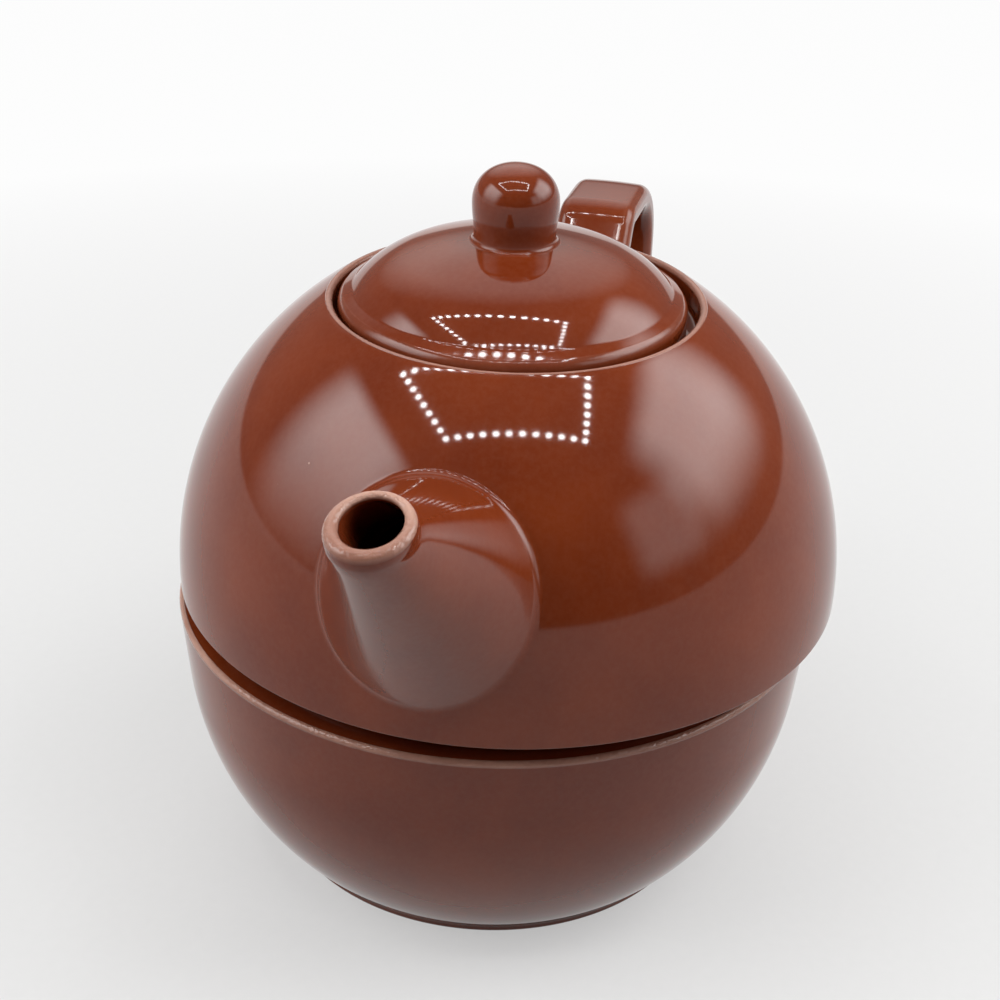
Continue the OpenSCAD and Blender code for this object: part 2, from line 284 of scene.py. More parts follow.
def slope_of(outside, point):
    """How fast, and which way, a point's distance from the skin grows."""
    step = 0.01 * MM
    return Vector([(outside(point + Vector(d)) - outside(point - Vector(d))) / (2 * step)
                   for d in ((step, 0, 0), (0, step, 0), (0, 0, step))])


def rim_normal(outside, vert):
    """A vertex's normal, turned to that of the skin it lies on where it is very near."""
    share = min(max(outside(vert.co) / RIM_NEAR, 0.0), 1.0)
    return slope_of(outside, vert.co).normalized().lerp(vert.normal, share).normalized()


def finish_piece(bm, name, body, *nodes, bareness=0.4, lies_on=None):
    """Makes an object of the mesh, glazed and smooth, that rides on a body in place of its solids, which it
    hides.
    """
    mark_thin_glaze(bm, bareness)
    for face in bm.faces:
        face.smooth = True
    mesh = bpy.data.meshes.new(name)
    bm.to_mesh(mesh)
    bm.free()
    if lies_on:
        mesh.normals_split_custom_set_from_vertices([rim_normal(lies_on, vert) for vert in mesh.vertices])
    mesh.materials.append(glaze)
    piece = bpy.data.objects.new(name, mesh)
    bpy.context.collection.objects.link(piece)
    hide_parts(*nodes)
    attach(piece, body)
    print(name, "has", len(mesh.polygons), "faces, for", ", ".join(nodes))
    return piece


print("Glaze is bare on bends of", round(THIN_FULL / MM, 1), "mm and covers", round(THIN_NONE / MM, 1), "mm")

# %% [markdown]
# ## The cup
# The cup is the lower part of a ball. Its foot is a low upright band, its outside leans straight out near
# the top, and its lip is thick, with a soft round outside that catches a thin line of light under the
# pot. The frame's box gives the lip's height and width. The ball's radius and centre, the wall and the
# roundings are sizes that the box can't tell.

# %% Cup bowl
cup_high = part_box("cup_bowl")[1]
CUP_R = 62.3 * MM
CUP_CENTRE = 45.2 * MM
CUP_WALL = 4.6 * MM
CUP_FLOOR = 5.5 * MM
CUP_CORNER = 10 * MM
FOOT_BAND = 1.4 * MM
FOOT_SOFT = 0.8 * MM
BAND_BLEND = 0.4
LIP_LEAN = 6
LIP_ROUND = 1.0 * MM
LIP_INNER_ROUND = 1.1 * MM
cup_h = cup_high.z
lip_r = cup_high.x
cup_in_r = CUP_R - CUP_WALL
foot_r = math.sqrt(CUP_R ** 2 - (CUP_CENTRE - FOOT_BAND) ** 2)
foot_angle = -math.degrees(math.asin((CUP_CENTRE - FOOT_BAND) / CUP_R))
lean = math.radians(LIP_LEAN)
lip_centre = (lip_r - LIP_ROUND * (1 + math.sin(lean)) / math.cos(lean), cup_h - LIP_ROUND)
well_rise = CUP_CENTRE - CUP_FLOOR - CUP_CORNER
well_out = math.sqrt((cup_in_r - CUP_CORNER) ** 2 - well_rise ** 2)
well_angle = -math.degrees(math.atan2(well_rise, well_out))

cup_outline = soften([(0, 0, 0), (foot_r, 0, FOOT_SOFT), (foot_r, FOOT_BAND, 0)])
cup_outline += arc((0, CUP_CENTRE), CUP_R, foot_angle + BAND_BLEND, -LIP_LEAN, 56)
cup_outline += arc(lip_centre, LIP_ROUND, -LIP_LEAN, 90, 14)
cup_outline += arc((cup_in_r + LIP_INNER_ROUND, cup_h - LIP_INNER_ROUND), LIP_INNER_ROUND, 90, 180, 8)
cup_outline += arc((0, CUP_CENTRE), cup_in_r, 0, well_angle, 36)
cup_outline += arc((well_out, CUP_FLOOR + CUP_CORNER), CUP_CORNER, well_angle, -90, 12)[1:] + [(0, CUP_FLOOR)]
finish_piece(turned(cup_outline, 0), "cup_skin", "cup", "cup_bowl", bareness=0.8)

# %% [markdown]
# ## The pot
# The pot is a ball with a flat cut under it. A seat below the cut rests on the cup's lip, and its foot
# hangs inside the cup. The seat stands well back, so a deep dark gap runs round between pot and cup. At
# the top, a round opening with a ledge takes the lid. One outline goes all the way: from the foot's
# middle up the outside, over the opening's edge, down onto the ledge and back along the inside. The pot
# lies pushed over in the cup, so its axis is read from the frame.

# %% Pot ball and foot
ball_low, ball_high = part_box("pot_body")
nest_low, nest_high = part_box("pot_foot")
OPENING_R = 34.2 * MM
OPENING_ROUND = 0.9 * MM
LEDGE_DEPTH = 6 * MM
LEDGE_W = 5.2 * MM
POT_WALL = 4.5 * MM
SKIRT_ROUND = 0.4 * MM
SEAT_BACK = 1.8 * MM
NEST_SLACK = 2.7 * MM
NEST_CORNER = 4 * MM
SEAT_CORNER = 0.8 * MM
EDGE_SOFT = 1 * MM
WAIST_SOFT = 1.5 * MM
WELL_EDGE, WELL_CORNER = 2 * MM, 3 * MM
LEDGE_STRAIGHT = 2 * MM
pot_y = (nest_low.y + nest_high.y) / 2
pot_r = (ball_high.y - ball_low.y) / 2
seat_r = (nest_high.y - nest_low.y) / 2 - SEAT_BACK
skirt_h, nest_h = ball_low.z, nest_low.z
pot_centre = ball_high.z - math.sqrt(pot_r ** 2 - OPENING_R ** 2)
ledge_h = ball_high.z - LEDGE_DEPTH
mouth_r = OPENING_R - LEDGE_W
nest_r = cup_in_r - NEST_SLACK
pot_in_r = pot_r - POT_WALL
skirt_up = skirt_h + SKIRT_ROUND - pot_centre
skirt_out = math.sqrt((pot_r - SKIRT_ROUND) ** 2 - skirt_up ** 2)
skirt_angle = math.degrees(math.atan2(skirt_up, skirt_out))
edge_out = OPENING_R + OPENING_ROUND
edge_angle = math.degrees(math.acos(edge_out / (pot_r - OPENING_ROUND)))
edge_up = (pot_r - OPENING_ROUND) * math.sin(math.radians(edge_angle))
inner_angle = math.degrees(math.acos((OPENING_R + POT_WALL) / pot_in_r))
waist_h = skirt_h + POT_WALL
waist_angle = math.degrees(math.asin((waist_h - pot_centre) / pot_in_r))
print("Ball's middle is", round(pot_centre / MM, 2), "mm up and pushed over", round(pot_y / MM, 2), "mm")

pot_outline = soften([(0, nest_h, 0), (nest_r, nest_h, NEST_CORNER), (nest_r, cup_h, EDGE_SOFT),
                      (seat_r, cup_h, SEAT_CORNER), (seat_r, skirt_h, EDGE_SOFT),
                      (skirt_out, skirt_h, 0)])[:-1]
pot_outline += arc((skirt_out, skirt_h + SKIRT_ROUND), SKIRT_ROUND, -90, skirt_angle, 10)
pot_outline += arc((0, pot_centre), pot_r, skirt_angle, edge_angle, 64)[1:]
pot_outline += arc((edge_out, pot_centre + edge_up), OPENING_ROUND, edge_angle, 180, 12)[1:]
pot_outline += soften([(OPENING_R, ledge_h + LEDGE_STRAIGHT, 0), (OPENING_R, ledge_h, EDGE_SOFT),
                       (mouth_r, ledge_h, EDGE_SOFT), (mouth_r, ledge_h - POT_WALL, EDGE_SOFT),
                       (OPENING_R + POT_WALL, ledge_h - POT_WALL, 0)])
pot_outline += arc((0, pot_centre), pot_in_r, inner_angle, waist_angle, 40)
pot_outline += soften([(pot_in_r, waist_h, 0), (seat_r - POT_WALL, waist_h, WAIST_SOFT),
                       (seat_r - POT_WALL, skirt_h, WAIST_SOFT), (nest_r - POT_WALL, skirt_h, WELL_EDGE),
                       (nest_r - POT_WALL, nest_h + POT_WALL, WELL_CORNER), (0, nest_h + POT_WALL, 0)])[1:]
pot = finish_piece(turned(pot_outline, pot_y), "pot_skin", "pot", "pot_body", "pot_foot")

# %% [markdown]
# ## Lanes
# Spout and handles aren't round about one axis, so they can't be spun. Each is a closed ring of edges
# that is extruded again and again, and every new ring is set where it belongs. An extruded vertex keeps
# the data of the one it grew from, so each vertex carries the number of its lane, and a rule places a
# whole ring by lane. Where a piece meets the ball or the cup, a rule walks down the lane until it touches
# the clay, and a small curve from the lane to that skin makes the fillet that a wet thumb leaves.

# %% Rings, lanes and fillets
BLEND_STEPS = 7
RIM_OUT = (0.4 * MM, 1.2 * MM)
RIM_SINK = (0.02 * MM, 0.08 * MM)


def start_ring(bm, points):
    """Closes a few points into a ring of edges, and numbers their lanes."""
    lane = bm.verts.layers.int.new("lane")
    chain = [bm.verts.new(point) for point in points]
    for number, vert in enumerate(chain):
        vert[lane] = number
    return [bm.edges.new(pair) for pair in zip(chain, chain[1:] + chain[:1])]


def next_ring(bm, ring, rule):
    """Extrudes a ring of edges and sets each new vertex by its lane."""
    lane = bm.verts.layers.int["lane"]
    grown = bmesh.ops.extrude_edge_only(bm, edges=ring)["geom"]
    for vert in (item for item in grown if isinstance(item, bmesh.types.BMVert)):
        vert.co = rule(vert[lane])
    return [item for item in grown if isinstance(item, bmesh.types.BMEdge)]


def hug(outside, point, sink=0.0):
    """Moves a point straight onto the skin where outside() is 0, or a little below it."""
    for _ in range(4):
        slope = slope_of(outside, point)
        point = point - slope * ((outside(point) + sink) / slope.length_squared)
    return point


def walk_to(outside, point, way, reach):
    """Walks from a point outside the clay until it meets the skin."""
    near, far = 0.0, reach
    for _ in range(40):
        middle = (near + far) / 2
        near, far = (middle, far) if outside(point + way * middle) > 0 else (near, middle)
    return point + way * near


def bow(start, corner, end, t):
    """A point of the curve that leaves start and reaches end, both towards the corner."""
    return start.lerp(corner, t).lerp(corner.lerp(end, t), t)


def tucked(outside, point, side):
    """Two points further out, that dip slowly under the skin, so that no line shows where they end."""
    return tuple(hug(outside, point + side * out, sink) for out, sink in zip(RIM_OUT, RIM_SINK))


def off_ball(point):
    """How far a point lies outside the pot's ball."""
    return (point - Vector((0, pot_y, pot_centre))).length - pot_r


print("Fillets get", BLEND_STEPS, "rings each")

# %% [markdown]
# ## The spout
# The spout is a short cone, wide at the ball and drawn up to a small mouth. Below, it flares a little, so
# that it stands steeply on the ball and mirrors the floor nearly down to its small tight fillet. The
# mouth was cut nearly level so that it pours cleanly, and its lip is a roll, thickest in front. The lanes
# run from the ball's skin through the fillet, up the cone, round the lip and down the bore, and a last
# bridge between the two ends, hidden under the ball's skin, closes the mesh.

# %% Spout: where its lanes run
SPOUT_LANES = 96
SPOUT_ROOT = 24.5
SPOUT_ANGLE = 39.5
SPOUT_ROOT_R = 18.0 * MM
SPOUT_FLARE = 0.8 * MM
SPOUT_FILLET = 1.4 * MM
BORE_ROOT_R = 12.0 * MM
BORE_STRAIGHT = 14 * MM
MOUTH_AT = Vector((85.4, 50.2)) * MM
MOUTH_ASIDE = -0.4 * MM
MOUTH_LEAN = 76
MOUTH_R = 7.06 * MM
MOUTH_LONG = 1.14
LIP_ROLL_BACK, LIP_ROLL_FRONT = 0.85 * MM, 1.45 * MM
LIP_DROP = 1.1 * MM
LIP_CREASE = 0.35 * MM
LIP_BLEND = 1.6 * MM
BORE_SINK = 0.12 * MM
LANE_REACH = 60 * MM


def over_ball(out, up):
    """A point in the upright plane through spout and handle, from the middle of the ball."""
    return Vector((out, pot_y, pot_centre + up))


def way_over(angle):
    """The way that rises at an angle over level, towards the spout."""
    return Vector((math.cos(math.radians(angle)), 0, math.sin(math.radians(angle))))


across = Vector((0, 1, 0))
root_middle = over_ball(0, 0) + way_over(SPOUT_ROOT) * pot_r
mouth_middle = over_ball(*MOUTH_AT) + across * MOUTH_ASIDE
mouth_up = way_over(MOUTH_LEAN)
spout_lanes = []
for number in range(SPOUT_LANES):
    turn = math.tau * number / SPOUT_LANES
    low = (1 - math.cos(turn)) / 2
    roll = LIP_ROLL_BACK + (LIP_ROLL_FRONT - LIP_ROLL_BACK) * low
    outward = way_over(MOUTH_LEAN + 90) * (MOUTH_LONG * math.cos(turn)) + across * math.sin(turn)
    side = way_over(SPOUT_ANGLE + 90) * math.cos(turn) + across * math.sin(turn)
    widest = mouth_middle + outward * MOUTH_R
    out = outward.normalized()
    lip_foot = widest - mouth_up * LIP_DROP
    neck = lip_foot - out * LIP_CREASE - mouth_up * roll
    down = (root_middle + side * SPOUT_ROOT_R - neck).normalized()
    crease = walk_to(off_ball, neck, down, LANE_REACH)
    bored = widest - out * (2 * roll) - way_over(SPOUT_ANGLE) * BORE_STRAIGHT
    bore_way = (root_middle + side * BORE_ROOT_R - bored).normalized()
    flare = (down * side.dot(down) - side).normalized() * (SPOUT_FLARE * math.sqrt(low))
    skin = hug(off_ball, crease + side * SPOUT_FILLET)
    spout_lanes.append({
        "out": out, "roll": roll, "roll_middle": widest - out * roll, "lip_foot": lip_foot, "neck": neck,
        "crease": crease, "flare": flare, "length": (crease - neck).length, "bored": bored,
        "skin": skin, "tucked": tucked(off_ball, skin, side),
        "bore_end": hug(off_ball, walk_to(off_ball, bored, bore_way, LANE_REACH), BORE_SINK)})
deepest = max(lane["length"] for lane in spout_lanes)
print("Spout's crease lies", round(deepest / MM, 1), "mm below its lip in front")

# %% Spout: rules that place its rings
def on_cone(lane, share):
    """A point of a lane on the cone, from neck (0) to crease (1), drawn in by the flare between them."""
    return lane["neck"].lerp(lane["crease"], share) + lane["flare"] * (4 * share * (1 - share))


def in_fillet(lane, t):
    """A point of the fillet, from the cone (0) to the ball's skin (1)."""
    return bow(on_cone(lane, 1 - SPOUT_FILLET / lane["length"]), lane["crease"], lane["skin"], t)


def under_lip(lane, t):
    """A point of the curve from the cone (0) to the foot of the lip (1)."""
    return bow(on_cone(lane, LIP_BLEND / lane["length"]), lane["neck"], lane["lip_foot"], t)


def lip_point(lane, angle):
    """A point of the rolled lip, by its angle: 0 is outward and 90 up."""
    a = math.radians(angle)
    return lane["roll_middle"] + (lane["out"] * math.cos(a) + mouth_up * math.sin(a)) * lane["roll"]


def cone_run(lane, t):
    """A point on the cone between the crease (0) and the lip's foot (1)."""
    low_end, high_end = 1 - SPOUT_FILLET / lane["length"], LIP_BLEND / lane["length"]
    return on_cone(lane, low_end + (high_end - low_end) * t)


def bore_run(lane, share):
    """A point of the bore's straight part, from the lip (0) to where it widens (1)."""
    return lip_point(lane, 180).lerp(lane["bored"], share)


def bore_flare(lane, share):
    """A point of the bore where it widens (0) towards its end under the ball's skin (1)."""
    return lane["bored"].lerp(lane["bore_end"], share)


print("Spout's lip is", round(2 * LIP_ROLL_FRONT / MM, 1), "mm thick in front")

# %% Spout: its rings
CONE_STEPS = 20
LIP_BLEND_STEPS = 6
spout_bm = bmesh.new()
first_ring = ring = start_ring(spout_bm, [lane["tucked"][1] for lane in spout_lanes])
ring = next_ring(spout_bm, ring, lambda n: spout_lanes[n]["tucked"][0])
for i in range(BLEND_STEPS, 0, -1):
    ring = next_ring(spout_bm, ring, lambda n: in_fillet(spout_lanes[n], i / BLEND_STEPS))
for i in range(CONE_STEPS + 1):
    ring = next_ring(spout_bm, ring, lambda n: cone_run(spout_lanes[n], i / CONE_STEPS))
for i in range(1, LIP_BLEND_STEPS + 1):
    ring = next_ring(spout_bm, ring, lambda n: under_lip(spout_lanes[n], i / LIP_BLEND_STEPS))
for angle in range(0, 181, 15):
    ring = next_ring(spout_bm, ring, lambda n: lip_point(spout_lanes[n], angle))
for share in (0.08, 0.2, 0.4, 0.7, 1.0):
    ring = next_ring(spout_bm, ring, lambda n: bore_run(spout_lanes[n], share))
for share in (0.2, 0.6, 1.0):
    ring = next_ring(spout_bm, ring, lambda n: bore_flare(spout_lanes[n], share))
bmesh.ops.bridge_loops(spout_bm, edges=first_ring + ring)
bmesh.ops.recalc_face_normals(spout_bm, faces=spout_bm.faces)
finish_piece(spout_bm, "spout_skin", "pot", "pot_spout", bareness=1.1, lies_on=off_ball)

# %% [markdown]
# ## The hole behind the spout
# Before the spout is stuck on, a round hole is cut through the ball's wall for the tea. It is cut here
# with a Boolean modifier and a rod along the spout's line, because a hole through a curved wall is just
# what that is for. The cut is applied and the rod is removed, so the piece stays a plain mesh.

# %% Hole behind the spout
POUR_HOLE_R = 10 * MM
ROD_LONG = 24 * MM
ROD_BACK = 4 * MM
rod_bm = bmesh.new()
along_spout = way_over(SPOUT_ANGLE).to_track_quat("Z", "Y").to_matrix().to_4x4()
rod_place = Matrix.Translation(root_middle - way_over(SPOUT_ANGLE) * ROD_BACK) @ along_spout
bmesh.ops.create_cone(rod_bm, cap_ends=True, segments=64, radius1=POUR_HOLE_R, radius2=POUR_HOLE_R,
                      depth=ROD_LONG, matrix=rod_place)
rod_mesh = bpy.data.meshes.new("hole_rod")
rod_bm.to_mesh(rod_mesh)
rod_bm.free()
rod = bpy.data.objects.new("hole_rod", rod_mesh)
bpy.context.collection.objects.link(rod)
pierce = pot.modifiers.new("pierce", "BOOLEAN")
pierce.operation = "DIFFERENCE"
pierce.solver = "EXACT"
pierce.object = rod
pot.data = bpy.data.meshes.new_from_object(pot.evaluated_get(bpy.context.evaluated_depsgraph_get()))
pot.modifiers.clear()
bpy.data.objects.remove(rod)
print("Pot has", len(pot.data.polygons), "faces with its hole,", round(2 * POUR_HOLE_R / MM), "mm across")

# %% [markdown]
# ## The handles
# Both handles are straps: a ribbon of clay with soft edges, bent round a former and pressed onto the wall
# at both ends. A rounded rectangle is the ring. It is made from four corners that are bevelled, so its
# lanes follow the rounding. The path is the strap's middle line in the upright plane: straight runs and
# bends of a given radius.

# %% Strap helpers
STRAP_T = 6.5 * MM
STRAP_EDGE = 2.5 * MM
STRAP_CROWN = 0.1
STRAP_REACH = 40 * MM


def strap_section(width, thickness, rounding):
    """Points (across, out) round a strap's section, in order."""
    bm = bmesh.new()
    half_w, half_t = width / 2, thickness / 2
    corners = [bm.verts.new((y, z, 0)) for y, z in ((-half_w, -half_t), (half_w, -half_t),
                                                    (half_w, half_t), (-half_w, half_t))]
    bm.faces.new(corners)
    bmesh.ops.bevel(bm, geom=corners, offset=rounding, offset_type="OFFSET", affect="VERTICES", segments=7,
                    profile=0.5, material=-1)
    straight_sides = [edge for edge in bm.edges if edge.calc_length() > rounding / 2]
    bmesh.ops.subdivide_edges(bm, edges=straight_sides, cuts=9)
    bm.faces.ensure_lookup_table()
    points = [loop.vert.co.xy.copy() for loop in bm.faces[0].loops]
    bm.free()
    for point in points:
        point.y *= 1 - STRAP_CROWN * (point.x / half_w) ** 2
    return points


def strap_path(corners, bends, steps=14):
    """Stations (point, way) along a strap's middle line, outward and up, with a bend at each inner corner."""
    points = [Vector(corner) for corner in corners]
    ways = [(b - a).normalized() for a, b in zip(points, points[1:])]
    stations = [(points[0], ways[0])]
    for corner, way_in, way_out, radius in zip(points[1:], ways, ways[1:], bends):
        bend_turn = way_in.angle(way_out)
        cut = radius * math.tan(bend_turn / 2)
        left = Vector((-way_in.y, way_in.x))
        middle = corner - way_in * cut - left * radius
        for i in range(steps + 1):
            turn = -bend_turn * i / steps
            spin = Matrix.Rotation(turn, 2)
            stations.append((middle + (spin @ left) * radius, spin @ way_in))
    return stations + [(points[-1], ways[-1])]


def make_strap(section, stations, stand, outside, fillet):
    """Extrudes the section along the stations, with a fillet where each end meets the clay."""
    count = len(section)

    def spot(station, number):
        """Where a lane passes a station."""
        (out, up), way = station
        normal = Vector((-way.y, way.x))
        place_2d = Vector((out, up)) + normal * section[number].y
        return stand(place_2d.x, section[number].x, place_2d.y)

    def foot_of(station, inward, number):
        """Points of a lane's fillet: up the strap, at the crease, on the skin and two under it."""
        start = spot(station, number)
        ahead = (spot((station[0] + inward, station[1]), number) - start).normalized()
        crease = walk_to(outside, start, ahead, STRAP_REACH)
        rim = section[(number + 1) % count] - section[number - 1]
        normal = Vector((-station[1].y, station[1].x))
        face = Vector((rim.y, -rim.x)).normalized()
        side = (stand(*((normal * face.y).x, face.x, (normal * face.y).y)) - stand(0, 0, 0)).normalized()
        skin = hug(outside, crease + side * fillet)
        return (crease - ahead * fillet, crease, skin) + tucked(outside, skin, side)

    first = [foot_of(stations[0], -stations[0][1], n) for n in range(count)]
    last = [foot_of(stations[-1], stations[-1][1], n) for n in range(count)]
    bm = bmesh.new()
    ring = start_ring(bm, [lane[4] for lane in first])
    bmesh.ops.contextual_create(bm, geom=ring)
    ring = next_ring(bm, ring, lambda n: first[n][3])
    for i in range(BLEND_STEPS, -1, -1):
        ring = next_ring(bm, ring, lambda n: bow(*first[n][:3], i / BLEND_STEPS))
    for station in stations[1:-1]:
        ring = next_ring(bm, ring, lambda n: spot(station, n))
    for i in range(BLEND_STEPS + 1):
        ring = next_ring(bm, ring, lambda n: bow(*last[n][:3], i / BLEND_STEPS))
    for depth in (3, 4):
        ring = next_ring(bm, ring, lambda n: last[n][depth])
    bmesh.ops.contextual_create(bm, geom=ring)
    bmesh.ops.recalc_face_normals(bm, faces=bm.faces)
    return bm


print("Straps are", round(STRAP_T / MM, 1), "mm thick, with edges rounded by", round(STRAP_EDGE / MM, 1))

# %% [markdown]
# The pot's handle leaves the ball steeply, turns level at the top in a tight bend, runs out, and comes
# round and back to the ball low down, so that a finger goes through. The cup's handle is a plain loop of
# the same strap, with round corners.

# %% Pot handle
strap_low, strap_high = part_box("pot_handle")
HANDLE_ROOT = 23
HANDLE_RISE = 54
HANDLE_LOW = 6.25 * MM
HANDLE_OFF_TOP, HANDLE_OFF_LOW = 9 * MM, 6 * MM
HANDLE_FRONT_BEND, HANDLE_GRIP_BEND = 4.5 * MM, 14.5 * MM
HANDLE_FILLET = 2.6 * MM
rise = Vector((math.cos(math.radians(HANDLE_RISE)), math.sin(math.radians(HANDLE_RISE))))
root = Vector((math.cos(math.radians(HANDLE_ROOT)), math.sin(math.radians(HANDLE_ROOT)))) * pot_r
handle_top = strap_high.z - pot_centre - STRAP_T / 2
grip_out = -strap_low.x - STRAP_T / 2
front = root + rise * ((handle_top - root.y) / rise.y)
pot_path = strap_path([root + rise * HANDLE_OFF_TOP, front, (grip_out, handle_top), (grip_out, HANDLE_LOW),
                       (pot_r + HANDLE_OFF_LOW, HANDLE_LOW)],
                      [HANDLE_FRONT_BEND, HANDLE_GRIP_BEND, HANDLE_GRIP_BEND])
pot_section = strap_section(strap_high.y - strap_low.y, STRAP_T, STRAP_EDGE)


def behind_pot(out, aside, up):
    """A place behind the pot, measured from the middle of its ball."""
    return Vector((-out, pot_y + aside, pot_centre + up))


pot_strap = make_strap(pot_section, pot_path, behind_pot, off_ball, HANDLE_FILLET)
finish_piece(pot_strap, "pot_handle_skin", "pot", "pot_handle", lies_on=off_ball)

# %% Cup handle
loop_low, loop_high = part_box("cup_handle")
LOOP_BEND = 12 * MM
LOOP_OFF_TOP, LOOP_OFF_LOW = 6 * MM, 3 * MM
lean_up = CUP_CENTRE - CUP_R * math.sin(lean)


def off_cup(point):
    """How far a point lies outside the cup: its ball, and the wall that leans out above."""
    if point.z < lean_up:
        return (point - Vector((0, 0, CUP_CENTRE))).length - CUP_R
    wall_r = CUP_R * math.cos(lean) + (point.z - lean_up) * math.tan(lean)
    return (point.xy.length - wall_r) * math.cos(lean)


def behind_cup(out, aside, up):
    """A place behind the cup, measured from the middle of its foot."""
    return Vector((-out, aside, up))


loop_out = -loop_low.x - STRAP_T / 2
loop_top, loop_foot = loop_high.z - STRAP_T / 2, loop_low.z + STRAP_T / 2
cup_path = strap_path([(CUP_R + LOOP_OFF_TOP, loop_top), (loop_out, loop_top), (loop_out, loop_foot),
                       (CUP_R + LOOP_OFF_LOW, loop_foot)], [LOOP_BEND, LOOP_BEND])
cup_section = strap_section(loop_high.y - loop_low.y, STRAP_T, STRAP_EDGE)
cup_strap = make_strap(cup_section, cup_path, behind_cup, off_cup, HANDLE_FILLET)
finish_piece(cup_strap, "cup_handle_skin", "cup", "cup_handle", lies_on=off_cup)

# %% [markdown]
# ## The lid and its knob
# The lid is a dome that drops into the opening. Its shoulder falls faster than its middle, and where it
# ends a faint crease sets off the rounded edge. Below the ledge a flange keeps the lid from falling out
# when the pot is tipped. The knob is a small fat mushroom, thrown onto the dome with a cove round its
# neck. The cove is an arc that touches both the neck and the dome, so no seam shows, and its last points
# dip under the dome's skin.

# %% Lid
lid_low, lid_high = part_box("lid_cap")
LID_DOME_R = 64 * MM
LID_SHOULDER_R = 22.8 * MM
LID_SHOULDER_FROM = 71.8
LID_SHOULDER_TO = 41.5
LID_EDGE_R = 2.5 * MM
LID_EDGE_FROM = 58
LID_EDGE_UP = 3.95 * MM
LID_CREASE_SOFT = 2 * MM
LID_STRAIGHT = 3 * MM
LID_SOFT = 0.7 * MM
LID_WALL = 4.2 * MM
FLANGE_R = 28 * MM
FLANGE_WALL = 3.2 * MM
FLANGE_SOFT = 1.2 * MM
lid_y = (lid_low.y + lid_high.y) / 2
lid_r = (lid_high.y - lid_low.y) / 2
dome_centre = lid_high.z - LID_DOME_R
shoulder_off = LID_DOME_R - LID_SHOULDER_R
shoulder_turn = math.radians(LID_SHOULDER_FROM)
shoulder_centre = (shoulder_off * math.cos(shoulder_turn),
                   dome_centre + shoulder_off * math.sin(shoulder_turn))
edge_centre = (lid_r - LID_EDGE_R, ledge_h + LID_EDGE_UP)
flange_in_r = FLANGE_R - FLANGE_WALL
hollow_r = LID_DOME_R - LID_WALL
hollow_angle = math.degrees(math.acos(flange_in_r / hollow_r))
hollow_up = dome_centre + math.sqrt(hollow_r ** 2 - flange_in_r ** 2)

lid_outline = arc((0, dome_centre), LID_DOME_R, 90, LID_SHOULDER_FROM, 24)
lid_shoulder = arc(shoulder_centre, LID_SHOULDER_R, LID_SHOULDER_FROM, LID_SHOULDER_TO, 16)
lid_edge = arc(edge_centre, LID_EDGE_R, LID_EDGE_FROM, 0, 14)
lid_crease = soften([lid_shoulder[-2] + (0,), lid_shoulder[-1] + (LID_CREASE_SOFT,), lid_edge[0] + (0,)])
lid_outline += lid_shoulder[1:-2] + lid_crease + lid_edge[1:]
lid_outline += soften([(lid_r, ledge_h + LID_STRAIGHT, 0), (lid_r, ledge_h, LID_SOFT),
                       (FLANGE_R, ledge_h, LID_SOFT), (FLANGE_R, lid_low.z, FLANGE_SOFT),
                       (flange_in_r, lid_low.z, FLANGE_SOFT), (flange_in_r, hollow_up, 0)])
lid_outline += arc((0, dome_centre), hollow_r, hollow_angle, 90, 20)[1:]
finish_piece(turned(lid_outline, lid_y), "lid_skin", "lid", "lid_cap")

# %% Knob
knob_low, knob_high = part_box("lid_knob")
KNOB_NECK_R = 7.6 * MM
KNOB_CROWN = 7.1 * MM
KNOB_COVE = 1.1 * MM
KNOB_SQUARE = 2.2
KNOB_TUCK_OUT, KNOB_TUCK_DOWN = 0.5 * MM, 0.2 * MM
KNOB_ROOT_DEEP = 1.5 * MM
CROWN_STEPS, NECK_STEPS = 24, 9
knob_r = (knob_high.y - knob_low.y) / 2
shoulder = knob_high.z - KNOB_CROWN
cove_out = KNOB_NECK_R + KNOB_COVE
cove_up = dome_centre + math.sqrt((LID_DOME_R + KNOB_COVE) ** 2 - cove_out ** 2)
cove_end = 270 - math.degrees(math.asin(cove_out / (LID_DOME_R + KNOB_COVE)))
knob_outline = [(0, knob_high.z)]
for i in range(1, CROWN_STEPS + 1):
    quarter = math.pi / 2 * (1 - i / CROWN_STEPS)
    knob_outline.append((knob_r * math.cos(quarter) ** (2 / KNOB_SQUARE),
                         shoulder + KNOB_CROWN * math.sin(quarter) ** (2 / KNOB_SQUARE)))
for i in range(1, NECK_STEPS):
    t = i / NECK_STEPS
    knob_outline.append((knob_r + (KNOB_NECK_R - knob_r) * t * t * (3 - 2 * t),
                         shoulder + (cove_up - shoulder) * t))
knob_outline += arc((cove_out, cove_up), KNOB_COVE, 180, cove_end, 12)
rim_out, rim_up = knob_outline[-1]
knob_outline += [(rim_out + KNOB_TUCK_OUT, rim_up - KNOB_TUCK_DOWN), (rim_out, rim_up - KNOB_ROOT_DEEP),
                 (0, rim_up - KNOB_ROOT_DEEP)]
finish_piece(turned(knob_outline, lid_y), "knob_skin", "lid", "lid_knob")
